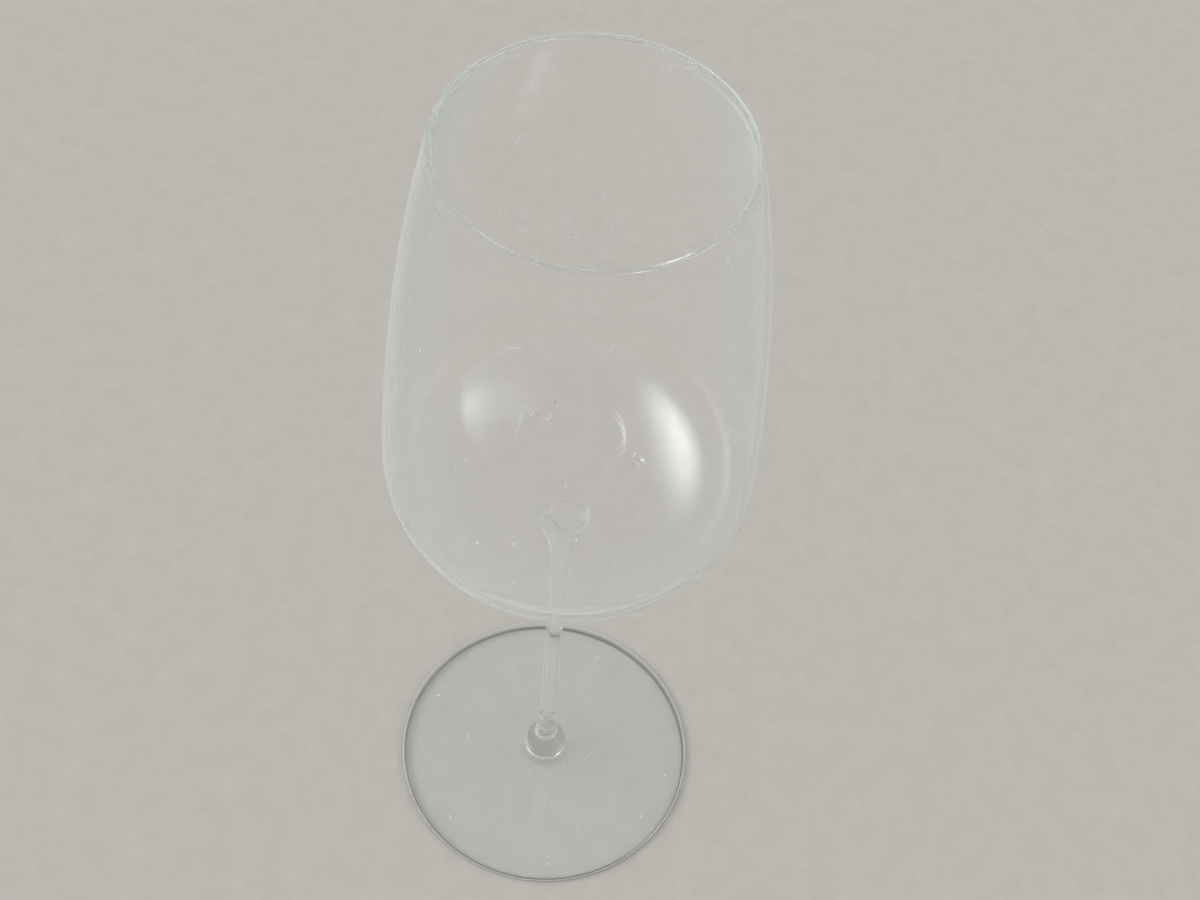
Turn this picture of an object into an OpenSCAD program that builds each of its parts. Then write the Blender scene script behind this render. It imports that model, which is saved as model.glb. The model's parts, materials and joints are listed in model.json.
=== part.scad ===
// Stemmed wine glass, blown and drawn in four pieces that are fused end to end:
// foot, knop with its neck, stem, and bowl. Millimetres, standing on z = 0,
// with the axis of the glass on Z.

/* [Foot] */
// Diameter of the foot
foot_d = 76.5; // [60:0.5:95]
// Height of the flat face where the knop is fused on
foot_h = 3.6; // [2.8:0.1:6]
// Thickness of the foot at its rounded edge
foot_edge = 1.3; // [0.8:0.1:2]
// Depth of the rounding at the edge, measured inwards
foot_edge_round = 0.8; // [0.4:0.1:1.5]
// Width of the flat ring that the glass stands on
foot_ring = 2.2; // [1:0.1:5]
// Rise of the hollow underside above the table, at the centre
foot_hollow = 0.9; // [0.3:0.1:1.3]
// Radius of the fillet between the foot and the knop
foot_fillet = 0.9; // [0.4:0.1:1.2]
// How fast the cone on top levels out, where 1 is a straight cone
foot_dish = 1.5; // [1:0.1:3]

/* [Knop] */
// Diameter of the knop at its widest
knop_d = 10.8; // [9:0.1:16]
// Height of the knop and its neck, from the foot to the stem
knop_h = 17.6; // [15:0.2:28]
// Height of the widest point of the knop above the foot
knop_belly = 1.6; // [0.5:0.1:2.5]
// Upright radius of the knop below its widest point
knop_round = 4.2; // [3:0.1:8]
// Upright radius of the knop above its widest point
knop_dome = 5; // [3:0.1:7]
// Angle above the widest point at which the dome turns into the neck
knop_shoulder = 50; // [35:1:60]
// How tightly the dome turns into the neck, as the reach of the curve between them
neck_turn = 1.6; // [0.4:0.1:2]
// Diameter of the neck just above the dome
neck_base_d = 5.6; // [4.4:0.1:7]
// Diameter of the neck where it meets the stem
neck_d = 4.4; // [3.4:0.1:7]
// Depth of the shallow crease round the seam between the neck and the stem
seam_crease = 0.15; // [0.05:0.01:0.3]

/* [Stem] */
// Length of the stem from the neck to the root of the bowl
stem_l = 87; // [50:0.2:130]
// Diameter of the drawn part of the stem
stem_d = 4; // [3:0.1:7]
// Length of the flare at the top of the stem
flare_l = 19; // [10:1:40]
// How late the flare opens, where a higher value stays slim for longer
flare_power = 2.3; // [1.5:0.1:3.5]

/* [Bowl] */
// Diameter of the flat face where the bowl is fused to the stem
root_d = 8.8; // [7:0.2:11.2]
// Height of the underside of the bowl above that face, on the axis
root_h = 4.8; // [2.5:0.1:7]
// Diameter at which the fillet of the root runs out into the underside
root_spread = 11.8; // [11.6:0.2:24]
// Height of the bowl from its underside to the rim
bowl_h = 112; // [90:1:135]
// Diameter of the bowl at its widest
belly_d = 76.9; // [66:0.1:95]
// Height of the widest point above the underside
belly_h = 26.8; // [18:0.2:40]
// Diameter of the mouth across its bead
rim_d = 56.8; // [46:0.1:63]
// Inward lean of the wall at the rim, in millimetres for each millimetre of height
rim_lean = 0.244; // [0.1:0.002:0.4]
// How far down from the rim that lean shapes the side
side_reach = 37; // [20:1:50]
// How far down from the widest point the wall shapes the turn of the underside
turn_reach = 16; // [8:0.5:17.5]
// How far out from the axis the flat of the underside reaches
floor_reach = 21.6; // [12:0.2:28]

/* [Wall] */
// Thickness of the wall just under the bead
rim_wall = 0.9; // [0.6:0.05:1.4]
// Thickness of the wall at the widest point
belly_wall = 1.1; // [0.7:0.05:2]
// Thickness of the floor of the bowl, above the root
floor_wall = 2; // [1.2:0.1:4]
// Diameter of the fire-polished bead round the mouth
bead_d = 1.2; // [0.8:0.05:2]
// Height over which the wall swells into the bead
bead_h = 3; // [2:0.1:6]

/* [Hidden] */
$fn = 128;

glass = [0.83, 0.9, 0.89, 0.55];

long_steps = 32;
short_steps = 14;
arc_steps = 8;

// Shortest step kept along the outside of the bowl where the root begins
least_step = 0.3;

// Radii
foot_r = foot_d / 2;
knop_r = knop_d / 2;
knop_foot_r = knop_r * sqrt(1 - pow(knop_belly / knop_round, 2));
neck_r = neck_d / 2;
stem_r = stem_d / 2;
root_r = root_d / 2;
belly_r = belly_d / 2;
bead_r = bead_d / 2;

// Heights of the fused faces and of the bowl's main levels
knop_z = foot_h;
stem_z = knop_z + knop_h;
root_z = stem_z + stem_l;
floor_z = root_z + root_h;
belly_z = floor_z + belly_h;
rim_z = floor_z + bowl_h;

// Outer radius of the wall at the rim, and centre of the bead that ends it
rim_r = rim_d / 2 - (bead_d - rim_wall) / 2;
bead_center = [rim_d / 2 - bead_r, rim_z - bead_r];

// The side's lower handle is set so that side and underside meet with one curvature
side_handle_r = rim_r + rim_lean * side_reach;
side_turn = turn_reach * sqrt((belly_r - side_handle_r) / (belly_r - floor_reach));

// Opening of the flare for each millimetre of height, where the stem meets the root
flare_slope = flare_power * (root_r - stem_r) / flare_l;

function mix(a, b, t) = a + (b - a) * t;

// Points along a cubic curve with end points p[0] and p[3] and handles p[1] and p[2]
function curve(p, steps) = [
    for (i = [0 : steps])
        let (t = i / steps, s = 1 - t)
        s * s * s * p[0] + 3 * s * s * t * p[1] + 3 * s * t * t * p[2] + t * t * t * p[3]
];

// Points along an arc with radii r = [across, up], from angle a to angle b
function arc(center, r, a, b, steps) = [
    for (i = [0 : steps])
        let (angle = mix(a, b, i / steps))
        center + [r.x * cos(angle), r.y * sin(angle)]
];

function drop_first(path) = [for (i = [1 : len(path) - 1]) path[i]];
function drop_last(path) = [for (i = [0 : len(path) - 2]) path[i]];
function reversed(path) = [for (i = [len(path) - 1 : -1 : 0]) path[i]];
function direction(path, i) =
    let (step = path[min(i + 1, len(path) - 1)] - path[max(i - 1, 0)])
    step / norm(step);

// Thickness of the bowl's wall at a height: even up the side, and
// growing towards the floor, slowly at first
function wall_at(z) =
    z > belly_z
        ? mix(belly_wall, rim_wall, (z - belly_z) / (rim_z - belly_z))
        : mix(belly_wall, floor_wall, pow((belly_z - z) / (belly_z - floor_z), 2));

// Outside of the bowl as one line from the rim down to the axis
bowl_side = curve([
    [rim_r, rim_z],
    [side_handle_r, rim_z - side_reach],
    [belly_r, belly_z + side_turn],
    [belly_r, belly_z]
], long_steps);
bowl_underside = curve([
    [belly_r, belly_z],
    [belly_r, belly_z - turn_reach],
    [floor_reach, floor_z],
    [0, floor_z]
], long_steps);
bowl_outside = concat(bowl_side, drop_first(bowl_underside));

// Inside of the bowl: the outside moved in by the wall, without its end on the axis
bowl_inside = [
    for (i = [0 : len(bowl_outside) - 2])
        let (along = direction(bowl_outside, i), wall = wall_at(bowl_outside[i].y))
        bowl_outside[i] + wall * [along.y, -along.x]
];

// The stretches of both lines between the bead and the root. The outer one ends
// exactly where the fillet of the root begins.
bead_start_z = rim_z - bead_h;
root_start = [root_spread / 2, lookup(root_spread / 2, bowl_underside)];
outer_wall = concat(
    [for (p = bowl_outside) if (p.y < bead_start_z && p.x > root_start.x + least_step) p],
    [root_start]
);
inner_wall = [
    for (p = bowl_inside)
        if (p.y < bead_start_z) p
];

// Curve that leaves the end of a line along its own direction and arrives at a point.
// Its two reaches say how strongly it keeps the one direction and the other.
function run_out(path, target, arrival, reaches, steps) =
    let (last = len(path) - 1)
    drop_first(curve([
        path[last],
        path[last] + reaches[0] * direction(path, last),
        target - reaches[1] * arrival,
        target
    ], steps));

// Profile of the bowl, up the outside, over the bead, down the inside to the axis,
// and back out over the root. The bead and the root flow into the wall along curves
// whose reaches come from the room that they have.
module bowl() {
    bead_reaches = [bead_h / 3, bead_h / 3];
    root_reaches = [(root_spread - root_d) / 4, root_h / 2];
    root_rise = [flare_slope, 1] / norm([flare_slope, 1]);
    up_to_bead = run_out(
        reversed(outer_wall), bead_center + [bead_r, 0], [0, 1], bead_reaches, arc_steps);
    over_bead = arc(bead_center, [bead_r, bead_r], 0, 180, arc_steps);
    down_from_bead = run_out(
        reversed(inner_wall), bead_center - [bead_r, 0], [0, 1], bead_reaches, arc_steps);
    root_fillet = run_out(outer_wall, [root_r, root_z], -root_rise, root_reaches, arc_steps);
    profile = concat(
        reversed(outer_wall),
        up_to_bead,
        drop_first(drop_last(over_bead)),
        reversed(down_from_bead),
        inner_wall,
        [[0, floor_z + floor_wall], [0, root_z]],
        reversed(root_fillet)
    );
    color(glass) rotate_extrude() polygon(profile);
}

// Drawn stem: slim from the crease up, then flared to the root of the bowl
module stem() {
    flare_z = root_z - flare_l;
    crease = arc([stem_r, stem_z], [seam_crease, seam_crease], 180, 90, arc_steps);
    flare = [
        for (i = [0 : long_steps])
            let (t = i / long_steps)
            [mix(stem_r, root_r, pow(t, flare_power)), flare_z + flare_l * t]
    ];
    profile = concat([[0, stem_z]], crease, flare, [[0, root_z]]);
    color(glass) rotate_extrude() polygon(profile);
}

// Round button that joins stem and foot, drawn up into a short neck
module knop() {
    belly_level = knop_z + knop_belly;
    foot_angle = asin(knop_belly / knop_round);
    center = [0, belly_level];
    base = arc(center, [knop_r, knop_round], -foot_angle, 0, arc_steps);
    dome = arc(center, [knop_r, knop_dome], 0, knop_shoulder, arc_steps);
    neck_foot_z = dome[arc_steps].y + 2 * neck_turn;
    neck = curve([
        dome[arc_steps],
        dome[arc_steps] + neck_turn * direction(dome, arc_steps),
        [neck_base_d / 2, neck_foot_z],
        [neck_r, stem_z - seam_crease]
    ], long_steps);
    crease = arc([neck_r, stem_z], [seam_crease, seam_crease], -90, -180, arc_steps);
    profile = concat(
        [[0, knop_z]],
        base,
        drop_first(dome),
        drop_first(neck),
        drop_first(crease),
        [[0, stem_z]]
    );
    color(glass) rotate_extrude() polygon(profile);
}

// Spun foot: fillet under the knop, a shallow cone, a rounded edge,
// and a hollow underside that leaves a flat ring to stand on
module foot() {
    edge_r = foot_r - foot_edge_round;
    ring_r = edge_r - foot_ring;
    cone_r = knop_foot_r + foot_fillet;
    cone_z = foot_h - foot_fillet;
    fillet = arc([cone_r, foot_h], [foot_fillet, foot_fillet], 180, 270, arc_steps);
    cone = [
        for (i = [1 : short_steps])
            let (t = i / short_steps)
            [mix(cone_r, edge_r, t), mix(foot_edge, cone_z, pow(1 - t, foot_dish))]
    ];
    edge = arc([edge_r, foot_edge / 2], [foot_edge_round, foot_edge / 2], 90, -90, arc_steps);
    hollow = [
        for (i = [0 : short_steps])
            let (t = i / short_steps)
            [ring_r * (1 - t), foot_hollow * (1 - pow(1 - t, 2))]
    ];
    profile = concat([[0, foot_h]], fillet, cone, drop_first(edge), hollow);
    color(glass) rotate_extrude() polygon(profile);
}

foot();
knop();
stem();
bowl();
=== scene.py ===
"""A stemmed wine glass of clear blown glass, on a plain pale floor in soft studio light.

Every piece is a lathed mesh that stands for the CAD node of the same name. Profiles are
written in millimetres, as in the part's own drawing, and become metres in the mesh.
"""

import json
import math

import bpy
from mathutils import Matrix, Vector

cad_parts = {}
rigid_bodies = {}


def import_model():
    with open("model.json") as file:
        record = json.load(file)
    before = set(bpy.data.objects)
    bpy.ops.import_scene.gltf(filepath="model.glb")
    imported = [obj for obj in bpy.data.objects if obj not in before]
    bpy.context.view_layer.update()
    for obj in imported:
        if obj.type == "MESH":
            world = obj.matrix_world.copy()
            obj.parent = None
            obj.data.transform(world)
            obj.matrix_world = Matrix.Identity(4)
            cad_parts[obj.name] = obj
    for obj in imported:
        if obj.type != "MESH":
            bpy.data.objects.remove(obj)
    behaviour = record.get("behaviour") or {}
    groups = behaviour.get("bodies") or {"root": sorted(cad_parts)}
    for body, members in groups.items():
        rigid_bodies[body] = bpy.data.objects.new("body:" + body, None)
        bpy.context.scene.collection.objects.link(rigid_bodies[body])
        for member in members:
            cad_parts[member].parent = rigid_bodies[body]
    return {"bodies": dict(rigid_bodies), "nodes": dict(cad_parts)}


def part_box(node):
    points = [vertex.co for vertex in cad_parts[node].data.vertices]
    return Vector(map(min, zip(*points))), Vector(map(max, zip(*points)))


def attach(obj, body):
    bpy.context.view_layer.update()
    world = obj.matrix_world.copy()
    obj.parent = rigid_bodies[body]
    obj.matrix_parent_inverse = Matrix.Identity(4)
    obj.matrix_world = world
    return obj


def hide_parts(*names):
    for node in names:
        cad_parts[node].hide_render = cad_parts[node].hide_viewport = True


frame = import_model()

MM = 0.001

# ---------------------------------------------------------------- sizes, in millimetres


def top(node):
    """Height of a CAD node's highest point."""
    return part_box(node)[1].z / MM


def radius(node):
    """Largest radius of a CAD node."""
    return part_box(node)[1].x / MM


# From the frame
FOOT_R = radius("foot")
KNOP_R = radius("knop")
ROOT_R = radius("stem")
BELLY_R = radius("bowl")
KNOP_Z = top("foot")
STEM_Z = top("knop")
ROOT_Z = top("stem")
RIM_Z = top("bowl")

# Foot
FOOT_EDGE = 1.3
FOOT_EDGE_ROUND = 0.8
FOOT_RING = 2.2
FOOT_HOLLOW = 0.9
FOOT_FILLET = 0.9
FOOT_DISH = 1.5

# Knop and its neck
KNOP_BELLY = 1.6
KNOP_ROUND = 4.2
KNOP_DOME = 5
KNOP_SHOULDER = 50
NECK_TURN = 1.6
NECK_BASE_R = 2.8
NECK_R = 2.2
SEAM_CREASE = 0.15

# Stem
STEM_R = 2
FLARE_L = 19
FLARE_POWER = 2.3

# Bowl
ROOT_H = 4.8
ROOT_SPREAD = 11.8
BELLY_H = 26.8
RIM_D = 56.8
RIM_LEAN = 0.244
SIDE_REACH = 37
TURN_REACH = 16
FLOOR_REACH = 21.6
RIM_WALL = 0.9
BELLY_WALL = 1.1
FLOOR_WALL = 2
BEAD_D = 1.2
BEAD_H = 3

# Steps along curves and round the axis, and the shortest one kept where the root begins
LONG_STEPS = 64
SHORT_STEPS = 24
ARC_STEPS = 14
WIDE_SEGMENTS = 256
SLIM_SEGMENTS = 128
LEAST_STEP = 0.1

# How near counts as the same place, and the angle, in degrees, of the least sharp edge
ON_AXIS = 1e-6
SAME_HEIGHT = 1e-4
SHARP_ANGLE = 40

# ------------------------------------------------- looks and set, with lengths in metres

# Marks on the glass: how far each roughens the surface or covers it, how wide and how
# rare lint is, and how far wipe marks and waves are drawn out along the axis
SMEAR_ROUGHNESS = 0.03
DUST_ROUGHNESS = 0.6
DUST_COVER = 0.75
FILM_COVER = 0.4
HAIR_WIDTH = 0.004
HAIR_RARITY = 0.72
DRAWN_OUT = (1, 1, 0.25)

# Waves in the wall, and the heights between which they die out towards the bead
WAVE_DEPTH = 0.0004
FINE_WAVES = 0.06
WAVES_DIE_OUT = 0.2, 0.222

# Turns after which a ray caught in the glass is let out, low down and at the rim, and
# the heights between which the one becomes the other
MOST_TURNS = 7.5
RIM_TURNS = 2.5
RIM_SPAN = 0.2, 0.218

# Middle of a noise, of a lamp's face and between no bounce and one
MIDDLE = 0.5

# Share of light that the solid parts near the axis throw off its way
SLIM_LOSS = 0.35

# Board, a hair's breadth under the glass
FLOOR_HALF = 4.0
FLOOR_GAP = 0.00005
TOOTH_DEPTH = 0.0003

# Softbox overhead
SOFTBOX_SIDE = 6
SOFTBOX_UP = 3
SOFTBOX_LIGHT = 0.8

# Windows of the room: their strengths, the Ray Depths between which the mirrored window
# gains its full strength, how the glow falls off, and the least depth that divides
WINDOW_LIGHT = 6.5
FIRST_IMAGE_LIGHT = 0.3
IMAGE_DEPTHS = 2.0, 5.0
REFLECTOR_LIGHT = 2.6
GLOW_POWER = 1.7
LEAST_DEPTH = 0.01

# Camera, as fitted to the photograph: metres, degrees and, for its lens, millimetres
CAMERA_BACK = 0.2098
CAMERA_UP = 0.4295
CAMERA_YAW = 1.69
CAMERA_PITCH = 54.14
CAMERA_ROLL = 6.27
CAMERA_LENS = 52.1

# ---------------------------------------------------------------- profiles


def mix(a, b, t):
    """The value a share t of the way from a to b."""
    return a + (b - a) * t


def curve(ends_and_handles, steps):
    """Points along a cubic curve, given as start, two handles and end."""
    a, b, c, d = (Vector(p) for p in ends_and_handles)
    points = []
    for i in range(steps + 1):
        t = i / steps
        s = 1 - t
        points.append(s**3 * a + 3 * s * s * t * b + 3 * s * t * t * c + t**3 * d)
    return points


def arc(center, across, up, start, end, steps=ARC_STEPS):
    """Points along an arc of an ellipse, between two angles in degrees."""
    angles = [math.radians(mix(start, end, i / steps)) for i in range(steps + 1)]
    return [
        Vector((center[0] + across * math.cos(a), center[1] + up * math.sin(a)))
        for a in angles
    ]


def direction(path, i):
    """Unit vector along a path at one of its points."""
    last = len(path) - 1
    return (path[min(i + 1, last)] - path[max(i - 1, 0)]).normalized()


def run_out(path, target, arrival, reach_out, reach_in):
    """Curve that leaves the end of a path along it and reaches a target along arrival."""
    leaving = direction(path, len(path) - 1)
    handles = path[-1] + reach_out * leaving, target - reach_in * arrival
    return curve((path[-1], *handles, target), ARC_STEPS)[1:]


def point_at_radius(outline, x):
    """The last point of an outline, on its way in to the axis, that is x from it."""
    inner = next(i for i in range(len(outline) - 1, 0, -1) if outline[i - 1].x >= x)
    a, b = outline[inner - 1], outline[inner]
    return a + (b - a) * (a.x - x) / (a.x - b.x)


def foot_profile():
    """Half section of the foot, from its fused face over the top and back underneath."""
    knop_foot_r = KNOP_R * math.sqrt(1 - (KNOP_BELLY / KNOP_ROUND) ** 2)
    edge_r = FOOT_R - FOOT_EDGE_ROUND
    ring_r = edge_r - FOOT_RING
    cone_r = knop_foot_r + FOOT_FILLET
    cone_z = KNOP_Z - FOOT_FILLET
    fillet = arc((cone_r, KNOP_Z), FOOT_FILLET, FOOT_FILLET, 180, 270)
    cone = [
        Vector((mix(cone_r, edge_r, t), mix(FOOT_EDGE, cone_z, (1 - t) ** FOOT_DISH)))
        for t in (i / LONG_STEPS for i in range(1, LONG_STEPS + 1))
    ]
    edge = arc((edge_r, FOOT_EDGE / 2), FOOT_EDGE_ROUND, FOOT_EDGE / 2, 90, -90)
    hollow = [
        Vector((ring_r * (1 - t), FOOT_HOLLOW * (1 - (1 - t) ** 2)))
        for t in (i / SHORT_STEPS for i in range(SHORT_STEPS + 1))
    ]
    return [Vector((0, KNOP_Z))] + fillet + cone + edge[1:] + hollow


def knop_profile():
    """Half section of the knop and its neck, between its two fused faces."""
    level = KNOP_Z + KNOP_BELLY
    foot_angle = math.degrees(math.asin(KNOP_BELLY / KNOP_ROUND))
    base = arc((0, level), KNOP_R, KNOP_ROUND, -foot_angle, 0)
    dome = arc((0, level), KNOP_R, KNOP_DOME, 0, KNOP_SHOULDER, SHORT_STEPS)
    shoulder = dome[-1]
    neck = curve(
        (
            shoulder,
            shoulder + NECK_TURN * direction(dome, SHORT_STEPS),
            (NECK_BASE_R, shoulder.y + 2 * NECK_TURN),
            (NECK_R, STEM_Z - SEAM_CREASE),
        ),
        LONG_STEPS,
    )
    crease = arc((NECK_R, STEM_Z), SEAM_CREASE, SEAM_CREASE, -90, -180)
    ends = [Vector((0, KNOP_Z))], [Vector((0, STEM_Z))]
    return ends[0] + base + dome[1:] + neck[1:] + crease[1:] + ends[1]


def stem_profile():
    """Half section of the stem, from the crease over the neck up to the flare."""
    crease = arc((STEM_R, STEM_Z), SEAM_CREASE, SEAM_CREASE, 180, 90)
    shaft_l = ROOT_Z - FLARE_L - STEM_Z - SEAM_CREASE
    shaft = [
        Vector((STEM_R, STEM_Z + SEAM_CREASE + shaft_l * i / SHORT_STEPS))
        for i in range(1, SHORT_STEPS)
    ]
    flare = [
        Vector((mix(STEM_R, ROOT_R, t**FLARE_POWER), ROOT_Z - FLARE_L * (1 - t)))
        for t in (i / LONG_STEPS for i in range(LONG_STEPS + 1))
    ]
    return [Vector((0, STEM_Z))] + crease + shaft + flare + [Vector((0, ROOT_Z))]


def bowl_outline():
    """Outside of the bowl from the rim down to the axis, and its wall at each point."""
    floor_z = ROOT_Z + ROOT_H
    belly_z = floor_z + BELLY_H
    rim_r = (RIM_D - BEAD_D + RIM_WALL) / 2
    side_r = rim_r + RIM_LEAN * SIDE_REACH
    side_turn = TURN_REACH * math.sqrt((BELLY_R - side_r) / (BELLY_R - FLOOR_REACH))
    belly = (BELLY_R, belly_z)
    side_handles = (side_r, RIM_Z - SIDE_REACH), (BELLY_R, belly_z + side_turn)
    turn_handles = (BELLY_R, belly_z - TURN_REACH), (FLOOR_REACH, floor_z)
    side = curve(((rim_r, RIM_Z), *side_handles, belly), LONG_STEPS)
    underside = curve((belly, *turn_handles, (0, floor_z)), LONG_STEPS)
    outside = side + underside[1:]
    walls = [
        mix(BELLY_WALL, RIM_WALL, (p.y - belly_z) / (RIM_Z - belly_z))
        if p.y > belly_z
        else mix(BELLY_WALL, FLOOR_WALL, ((belly_z - p.y) / (belly_z - floor_z)) ** 2)
        for p in outside
    ]
    return outside, walls


def bowl_profile():
    """Half section of the bowl: up the outside, over the bead, down the inside, root."""
    outside, walls = bowl_outline()
    inside = []
    for i, (point, wall) in enumerate(zip(outside[:-1], walls)):
        along = direction(outside, i)
        inside.append(point + wall * Vector((along.y, -along.x)))
    root_start = point_at_radius(outside, ROOT_SPREAD / 2)
    below_bead = RIM_Z - BEAD_H
    above_root = root_start.x + LEAST_STEP
    outer = [p for p in outside if p.y < below_bead and p.x > above_root]
    outer.append(root_start)
    inner = [p for p in inside if p.y < below_bead]
    bead_r = BEAD_D / 2
    bead = Vector((RIM_D / 2 - bead_r, RIM_Z - bead_r))
    across = Vector((bead_r, 0))
    upright = Vector((0, 1))
    bead_reach = BEAD_H / 3
    to_bead = run_out(outer[::-1], bead + across, upright, bead_reach, bead_reach)
    from_bead = run_out(inner[::-1], bead - across, upright, bead_reach, bead_reach)
    over_bead = arc(bead, bead_r, bead_r, 0, 180)
    rim = to_bead + over_bead[1:-1] + from_bead[::-1]
    rise = Vector((FLARE_POWER * (ROOT_R - STEM_R) / FLARE_L, 1)).normalized()
    root_reach = (ROOT_SPREAD / 2 - ROOT_R) / 2
    root = run_out(outer, Vector((ROOT_R, ROOT_Z)), -rise, root_reach, ROOT_H / 2)[::-1]
    floor = Vector((0, ROOT_Z + ROOT_H + FLOOR_WALL))
    axis = [Vector((0, ROOT_Z))]
    return axis + root + outer[::-1] + rim + inner + [floor]


# ---------------------------------------------------------------- meshes


def lathe(name, profile, segments, fused_heights):
    """A closed smooth mesh turned from a half section that starts and ends on the axis.

    Faces that lie flat at one of the fused heights take the second material slot.
    """
    angles = [2 * math.pi * k / segments for k in range(segments)]
    verts, rings = [], []
    for point in profile:
        start = len(verts)
        if point.x < ON_AXIS:
            verts.append((0, 0, point.y * MM))
            rings.append([start] * segments)
            continue
        verts += [
            (point.x * MM * math.cos(a), point.x * MM * math.sin(a), point.y * MM)
            for a in angles
        ]
        rings.append(list(range(start, start + segments)))
    faces, slots = [], []
    for i, (low, high) in enumerate(zip(rings, rings[1:])):
        ends = profile[i].y, profile[i + 1].y
        fused = any(max(abs(z - f) for z in ends) < SAME_HEIGHT for f in fused_heights)
        for k in range(segments):
            n = (k + 1) % segments
            corners = low[k], low[n], high[n], high[k]
            faces.append(tuple(dict.fromkeys(corners)))
            slots.append(1 if fused else 0)
    mesh = bpy.data.meshes.new(name)
    mesh.from_pydata(verts, [], faces)
    mesh.polygons.foreach_set("material_index", slots)
    mesh.polygons.foreach_set("use_smooth", [True] * len(faces))
    mesh.set_sharp_from_angle(angle=math.radians(SHARP_ANGLE))
    mesh.validate()
    mesh.update()
    piece = bpy.data.objects.new(name, mesh)
    bpy.context.scene.collection.objects.link(piece)
    return piece


# ---------------------------------------------------------------- materials


class Nodes:
    """Builds a material's or world's node tree, one call for each node."""

    def __init__(self, owner):
        owner.use_nodes = True
        self.tree = owner.node_tree
        self.tree.nodes.clear()

    def add(self, kind, settings=None, **inputs):
        """Adds a node, sets its properties, and sets or links its inputs by name."""
        made = self.tree.nodes.new(kind)
        for name, value in (settings or {}).items():
            setattr(made, name, value)
        for name, value in inputs.items():
            socket = self.socket(made, name)
            if isinstance(value, bpy.types.NodeSocket):
                self.tree.links.new(value, socket)
            else:
                socket.default_value = value
        return made

    @staticmethod
    def socket(made, name):
        """The input called name, with _ for a space, or input number N for inN."""
        if name.startswith("in") and name[2:].isdigit():
            return made.inputs[int(name[2:])]
        return made.inputs[name.replace("_", " ")]

    def ramp(self, value, low, high, to_low=0.0, to_high=1.0):
        """Value taken from the range low to high, smoothly, into to_low to to_high."""
        made = self.add(
            "ShaderNodeMapRange",
            {"interpolation_type": "SMOOTHSTEP"},
            Value=value,
            From_Min=low,
            From_Max=high,
            To_Min=to_low,
            To_Max=to_high,
        )
        return made.outputs["Result"]

    def math(self, operation, a, b):
        """One sum on two numbers."""
        made = self.add("ShaderNodeMath", {"operation": operation}, in0=a, in1=b)
        return made.outputs[0]

    def dot(self, a, b):
        """Share of one direction along another."""
        made = self.add("ShaderNodeVectorMath", {"operation": "DOT_PRODUCT"}, in0=a, in1=b)
        return made.outputs["Value"]

    def blend(self, share, a, b):
        """Colour a share of the way from a to b."""
        made = self.add("ShaderNodeMix", {"data_type": "RGBA"}, in0=share, in6=a, in7=b)
        return made.outputs[2]

    def noise(self, where, scale, detail=2.0, rough=0.5):
        """Smooth noise from 0 to 1 at a place."""
        made = self.add(
            "ShaderNodeTexNoise", Vector=where, Scale=scale, Detail=detail, Roughness=rough
        )
        return made.outputs["Fac"]


def light_lost(n, place):
    """Share of light that thick glass throws off its way: slim solid parts, foot's edge."""
    at = n.add("ShaderNodeSeparateXYZ", Vector=place).outputs
    across = n.add("ShaderNodeCombineXYZ", X=at["X"], Y=at["Y"]).outputs[0]
    reach = n.add("ShaderNodeVectorMath", {"operation": "LENGTH"}, in0=across)
    from_axis = reach.outputs["Value"]
    slim = n.math("LESS_THAN", from_axis, (ROOT_R + FOOT_FILLET) * MM)
    rim = n.math("GREATER_THAN", from_axis, (FOOT_R - FOOT_EDGE_ROUND) * MM)
    low = n.math("LESS_THAN", at["Z"], FOOT_EDGE * MM)
    slim_share = n.math("MULTIPLY", slim, SLIM_LOSS)
    return n.math("MAXIMUM", slim_share, n.math("MULTIPLY", rim, low))


def dust_and_lint(n, place):
    """1 where a speck of dust or a bit of lint lies, in patches, and 0 elsewhere."""
    cells = n.add("ShaderNodeTexVoronoi", Vector=place, Scale=330.0, Randomness=1.0)
    chosen = n.add("ShaderNodeSeparateColor", Color=cells.outputs["Color"])
    size = n.ramp(chosen.outputs["Red"], low=0.82, high=1.0, to_low=0.0, to_high=0.1)
    speck = n.math("LESS_THAN", cells.outputs["Distance"], size)
    patches = n.ramp(n.noise(place, scale=30, detail=3), low=0.45, high=0.6)
    curl = n.math("SUBTRACT", n.noise(place, scale=210, detail=1), MIDDLE)
    hair = n.math("LESS_THAN", n.math("ABSOLUTE", curl, 0), HAIR_WIDTH)
    strewn = n.noise(place, scale=115, detail=1)
    lint = n.math("MULTIPLY", hair, n.math("GREATER_THAN", strewn, HAIR_RARITY))
    return n.math("MAXIMUM", n.math("MULTIPLY", speck, patches), lint)


def blown_waves(n, drawn, height):
    """Normal of a wall blown by hand, with waves that die out towards the bead."""
    slow = n.noise(drawn, scale=45, detail=1)
    fine = n.noise(drawn, scale=260, detail=2)
    waves = n.math("ADD", slow, n.math("MULTIPLY", fine, FINE_WAVES))
    kept = n.ramp(height, *WAVES_DIE_OUT, to_low=1.0, to_high=0.0)
    calm = n.math("MULTIPLY", waves, kept)
    bump = n.add("ShaderNodeBump", Strength=0.35, Distance=WAVE_DEPTH, Height=calm)
    return bump.outputs["Normal"]


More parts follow.
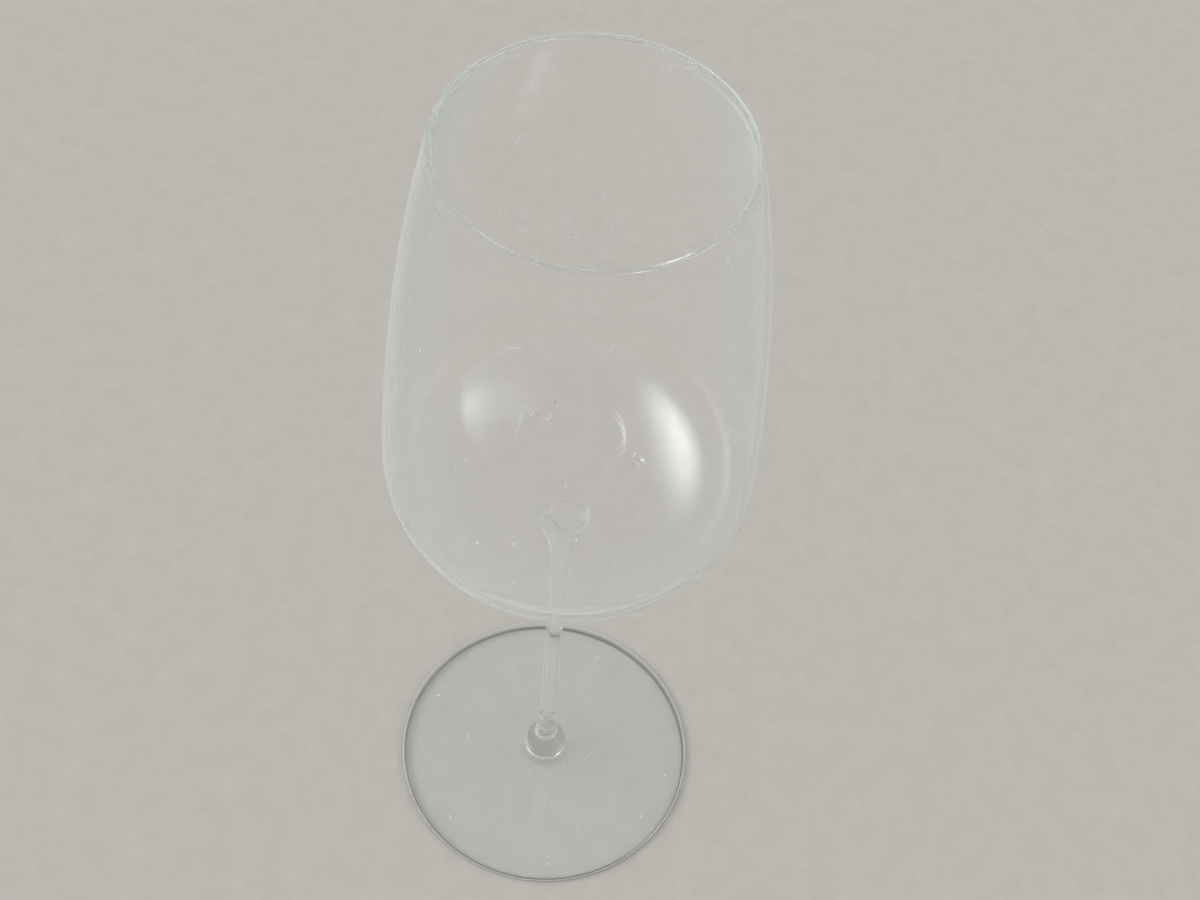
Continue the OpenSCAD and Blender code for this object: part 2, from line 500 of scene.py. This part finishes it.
def passed_through(n, place, height, facing):
    """Plain see-through surface, and the share of it, 0 or 1, that a ray meets.

    Light on its way to the floor meets it, dimmed where glass is thick or seen along
    its wall. So does a ray that total reflection keeps inside the glass, after a few
    turns, since it would end black: fewer at the rim, which thereby stays a light line.
    """
    wall = n.ramp(facing, low=0.75, high=1.0)
    thin = n.blend(wall, (0.992, 0.998, 0.995, 1), (0.25, 0.30, 0.30, 1))
    shade = n.blend(light_lost(n, place), thin, (0.42, 0.45, 0.44, 1))
    rays = n.add("ShaderNodeLightPath").outputs
    lighting = n.math("MAXIMUM", rays["Is Shadow Ray"], rays["Is Diffuse Ray"])
    turns = n.ramp(height, *RIM_SPAN, to_low=MOST_TURNS, to_high=RIM_TURNS)
    trapped = n.math("GREATER_THAN", rays["Ray Depth"], turns)
    passing = n.blend(lighting, (0.97, 1.0, 0.99, 1), shade)
    plain = n.add("ShaderNodeBsdfTransparent", Color=passing)
    return plain.outputs[0], n.math("MAXIMUM", lighting, trapped)


def clear_glass():
    """Blown glass with slow waves, wipe marks, a cool tint and film at its edges, dust."""
    material = bpy.data.materials.new("clear_glass_blown")
    n = Nodes(material)
    place = n.add("ShaderNodeTexCoord").outputs["Object"]
    drawn = n.add("ShaderNodeMapping", Vector=place, Scale=DRAWN_OUT).outputs["Vector"]
    height = n.add("ShaderNodeSeparateXYZ", Vector=place).outputs["Z"]

    facing = n.add("ShaderNodeLayerWeight", Blend=0.5).outputs["Facing"]
    edge = n.ramp(facing, low=0.55, high=1.0)
    tint = n.blend(edge, (1, 1, 1, 1), (0.88, 0.965, 0.955, 1))

    smear = n.ramp(n.noise(drawn, scale=55, detail=6, rough=0.6), low=0.52, high=0.75)
    dust = dust_and_lint(n, place)
    wiped = n.math("MULTIPLY", smear, SMEAR_ROUGHNESS)
    dusty = n.math("MULTIPLY", dust, DUST_ROUGHNESS)
    roughness = n.math("ADD", wiped, dusty)

    film = n.ramp(facing, low=0.72, high=1.0, to_low=0.0, to_high=FILM_COVER)
    dirt = n.math("MAXIMUM", n.math("MULTIPLY", dust, DUST_COVER), film)
    inside = n.add("ShaderNodeNewGeometry").outputs["Backfacing"]
    cloudy = n.math("MULTIPLY", n.math("SUBTRACT", 1.0, inside), dirt)
    clear = n.math("SUBTRACT", 1.0, cloudy)

    glass = n.add(
        "ShaderNodeBsdfPrincipled",
        Base_Color=tint,
        Roughness=roughness,
        IOR=1.52,
        Transmission_Weight=clear,
        Sheen_Weight=0.55,
        Sheen_Roughness=0.35,
        Sheen_Tint=(0.93, 1, 0.99, 1),
        Normal=blown_waves(n, drawn, height),
    )
    plain, share = passed_through(n, place, height, facing)
    surface = n.add("ShaderNodeMixShader", in0=share, in1=glass.outputs[0], in2=plain)
    n.add("ShaderNodeOutputMaterial", Surface=surface.outputs[0])
    return material


def fused_seam():
    """The face where two pieces are fused: glass on both sides, so nothing shows."""
    material = bpy.data.materials.new("fused_seam")
    n = Nodes(material)
    through = n.add("ShaderNodeBsdfTransparent", Color=(1, 1, 1, 1))
    n.add("ShaderNodeOutputMaterial", Surface=through.outputs[0])
    return material


def floor_board():
    """Pale warm-grey board with a faint mottle and a fine tooth."""
    material = bpy.data.materials.new("pale_board")
    n = Nodes(material)
    place = n.add("ShaderNodeTexCoord").outputs["Object"]
    mottle = n.ramp(n.noise(place, scale=140, detail=6, rough=0.7), low=0.3, high=0.7)
    colour = n.blend(mottle, (0.485, 0.458, 0.424, 1), (0.52, 0.493, 0.458, 1))
    tooth = n.noise(place, scale=900, detail=2)
    bump = n.add("ShaderNodeBump", Strength=0.15, Distance=TOOTH_DEPTH, Height=tooth)
    board = n.add(
        "ShaderNodeBsdfPrincipled",
        Base_Color=colour,
        Roughness=0.85,
        Specular_IOR_Level=0.2,
        Normal=bump.outputs["Normal"],
    )
    n.add("ShaderNodeOutputMaterial", Surface=board.outputs[0])
    return material


# ---------------------------------------------------------------- the glass


def build_glass():
    """Makes the four pieces, dresses them and has each stand for its CAD node."""
    turned = {
        "foot": (foot_profile(), WIDE_SEGMENTS, (KNOP_Z,)),
        "knop": (knop_profile(), SLIM_SEGMENTS, (KNOP_Z, STEM_Z)),
        "stem": (stem_profile(), SLIM_SEGMENTS, (STEM_Z, ROOT_Z)),
        "bowl": (bowl_profile(), WIDE_SEGMENTS, (ROOT_Z,)),
    }
    materials = clear_glass(), fused_seam()
    for node, (profile, segments, fused_heights) in turned.items():
        piece = lathe(node + "_glass", profile, segments, fused_heights)
        for material in materials:
            piece.data.materials.append(material)
        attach(piece, "root")
        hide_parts(node)


# ---------------------------------------------------------------- the set


def build_floor():
    """A wide board under the foot, a hair's breadth below it."""
    corners = [(-1, -1), (1, -1), (1, 1), (-1, 1)]
    verts = [(x * FLOOR_HALF, y * FLOOR_HALF, -FLOOR_GAP) for x, y in corners]
    mesh = bpy.data.meshes.new("floor")
    mesh.from_pydata(verts, [], [(0, 1, 2, 3)])
    mesh.materials.append(floor_board())
    floor = bpy.data.objects.new("floor", mesh)
    bpy.context.scene.collection.objects.link(floor)


def build_softbox():
    """A wide, weak softbox overhead, brightest in the middle, never itself seen."""
    lamp = bpy.data.lights.new("overhead", "AREA")
    lamp.shape = "SQUARE"
    lamp.size = SOFTBOX_SIDE
    lamp.energy = SOFTBOX_LIGHT * math.pi * SOFTBOX_SIDE**2
    n = Nodes(lamp)
    where = n.add("ShaderNodeNewGeometry").outputs["Parametric"]
    center = (MIDDLE, MIDDLE, 0)
    off = n.add("ShaderNodeVectorMath", {"operation": "DISTANCE"}, in0=where, in1=center)
    glow = n.ramp(off.outputs["Value"], low=0.12, high=0.5, to_low=1.0, to_high=0.0)
    light = n.add("ShaderNodeEmission", Color=(1, 1, 1, 1), Strength=glow)
    n.add("ShaderNodeOutputLight", Surface=light.outputs[0])
    holder = bpy.data.objects.new("overhead", lamp)
    holder.location = (0, 0, SOFTBOX_UP)
    holder.visible_camera = False
    holder.visible_glossy = False
    holder.visible_transmission = False
    bpy.context.scene.collection.objects.link(holder)


def window_glow(n, towards, azimuth, elevation, lean, reaches):
    """Glow of a soft window in the room's wall, from 1 in its middle to 0 at its sides.

    Its middle lies at an azimuth, from +Y towards +X, and an elevation, in degrees, and
    its lean turns it about that. Its reaches to the left, right, bottom and top are
    tangents of the angle from the middle.
    """
    az, el, tilt = (math.radians(a) for a in (azimuth, elevation, lean))
    ahead = Vector(
        (math.sin(az) * math.cos(el), math.cos(az) * math.cos(el), math.sin(el))
    )
    level = Vector((math.cos(az), -math.sin(az), 0))
    upright = level.cross(ahead)
    right = math.cos(tilt) * level + math.sin(tilt) * upright
    up = math.cos(tilt) * upright - math.sin(tilt) * level
    depth = n.dot(towards, ahead)
    clear_depth = n.math("MAXIMUM", depth, LEAST_DEPTH)
    offsets = []
    for axis, (low, high) in ((right, reaches[:2]), (up, reaches[2:])):
        off = n.math("DIVIDE", n.dot(towards, axis), clear_depth)
        above, below = n.math("DIVIDE", off, high), n.math("DIVIDE", off, -low)
        offsets.append(n.math("POWER", n.math("MAXIMUM", above, below), 2))
    away = n.math("SQRT", n.math("ADD", *offsets), 0)
    in_front = n.math("GREATER_THAN", depth, 0)
    falling = n.ramp(away, low=0.0, high=1.0, to_low=1.0, to_high=0.0)
    return n.math("MULTIPLY", in_front, n.math("POWER", falling, GLOW_POWER))


def window_strength(n, rays):
    """Light of the main window: in full as lighting, and graded where it is mirrored.

    A room that is seen at the first mirroring has a Ray Depth of 2. That image is held
    back, so that a foot or wall that happens to mirror the window doesn't clip to
    white. Images from deeper in the glass, which are faint by nature, have it in full.
    """
    mirrored = n.math("MAXIMUM", rays["Is Glossy Ray"], rays["Is Transmission Ray"])
    lighting = n.math("MULTIPLY", n.math("SUBTRACT", 1.0, mirrored), WINDOW_LIGHT)
    image = n.ramp(rays["Ray Depth"], *IMAGE_DEPTHS, FIRST_IMAGE_LIGHT, WINDOW_LIGHT)
    return n.math("MAXIMUM", lighting, image)


def build_world():
    """Room with two soft windows, which only reflections and the lighting show.

    The camera, and rays that have only passed through glass, see a plain wall instead.
    """
    world = bpy.data.worlds.new("room")
    bpy.context.scene.world = world
    n = Nodes(world)
    towards = n.add("ShaderNodeTexCoord").outputs["Generated"]
    up = n.add("ShaderNodeSeparateXYZ", Vector=towards).outputs["Z"]
    rays = n.add("ShaderNodeLightPath").outputs

    window = window_glow(
        n, towards, azimuth=-92, elevation=31, lean=0, reaches=(1.2, 1.2, 0.42, 0.6)
    )
    reflector = window_glow(
        n, towards, azimuth=100, elevation=27, lean=33, reaches=(0.12, 0.6, 0.6, 0.7)
    )
    light = n.ramp(up, low=0.0, high=0.8, to_low=0.55, to_high=0.35)
    light = n.math("ADD", light, n.math("MULTIPLY", window, window_strength(n, rays)))
    light = n.math("ADD", light, n.math("MULTIPLY", reflector, REFLECTOR_LIGHT))
    lit = n.add("ShaderNodeBackground", Color=(0.98, 1.0, 0.995, 1), Strength=light)

    rise = n.ramp(up, low=0.0, high=0.6)
    wall = n.blend(rise, (0.46, 0.44, 0.415, 1), (0.62, 0.61, 0.59, 1))
    backdrop = n.add("ShaderNodeBackground", Color=wall, Strength=1.0)

    unreflected = n.math("LESS_THAN", rays["Glossy Depth"], MIDDLE)
    through = n.math("MULTIPLY", rays["Is Transmission Ray"], unreflected)
    seen = n.math("MAXIMUM", rays["Is Camera Ray"], through)
    room = n.add(
        "ShaderNodeMixShader", in0=seen, in1=lit.outputs[0], in2=backdrop.outputs[0]
    )
    n.add("ShaderNodeOutputWorld", Surface=room.outputs[0])


def build_camera():
    """The photograph's view: from above and in front, tilted a little about its line."""
    angles = CAMERA_YAW, CAMERA_PITCH, CAMERA_ROLL
    yaw, pitch, roll = (math.radians(angle) for angle in angles)
    ahead = Vector(
        (math.sin(yaw) * math.cos(pitch), math.cos(yaw) * math.cos(pitch), -math.sin(pitch))
    )
    level_right = ahead.cross(Vector((0, 0, 1))).normalized()
    level_up = level_right.cross(ahead)
    right = math.cos(roll) * level_right + math.sin(roll) * level_up
    up = math.cos(roll) * level_up - math.sin(roll) * level_right
    lens = bpy.data.cameras.new("camera")
    lens.sensor_width = 36
    lens.lens = CAMERA_LENS
    lens.clip_start = 0.01
    camera = bpy.data.objects.new("camera", lens)
    turn = Matrix((right, up, -ahead)).transposed()
    stand = Matrix.Translation((0, -CAMERA_BACK, CAMERA_UP))
    camera.matrix_world = stand @ turn.to_4x4()
    bpy.context.scene.collection.objects.link(camera)
    bpy.context.scene.camera = camera


def build_view():
    """Plain colours, and enough bounces for light to pass every wall of the glass."""
    scene = bpy.context.scene
    scene.view_settings.view_transform = "Standard"
    scene.cycles.max_bounces = 24
    scene.cycles.transmission_bounces = 24
    scene.cycles.glossy_bounces = 16
    scene.cycles.transparent_max_bounces = 24
    scene.cycles.caustics_reflective = False
    scene.cycles.caustics_refractive = False


def clear_startup_objects():
    """Removes what Blender's own start-up scene holds."""
    ours = set(frame["nodes"].values()) | set(frame["bodies"].values())
    for thing in set(bpy.data.objects) - ours:
        bpy.data.objects.remove(thing)


clear_startup_objects()
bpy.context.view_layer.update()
build_glass()
build_floor()
build_softbox()
build_world()
build_camera()
build_view()
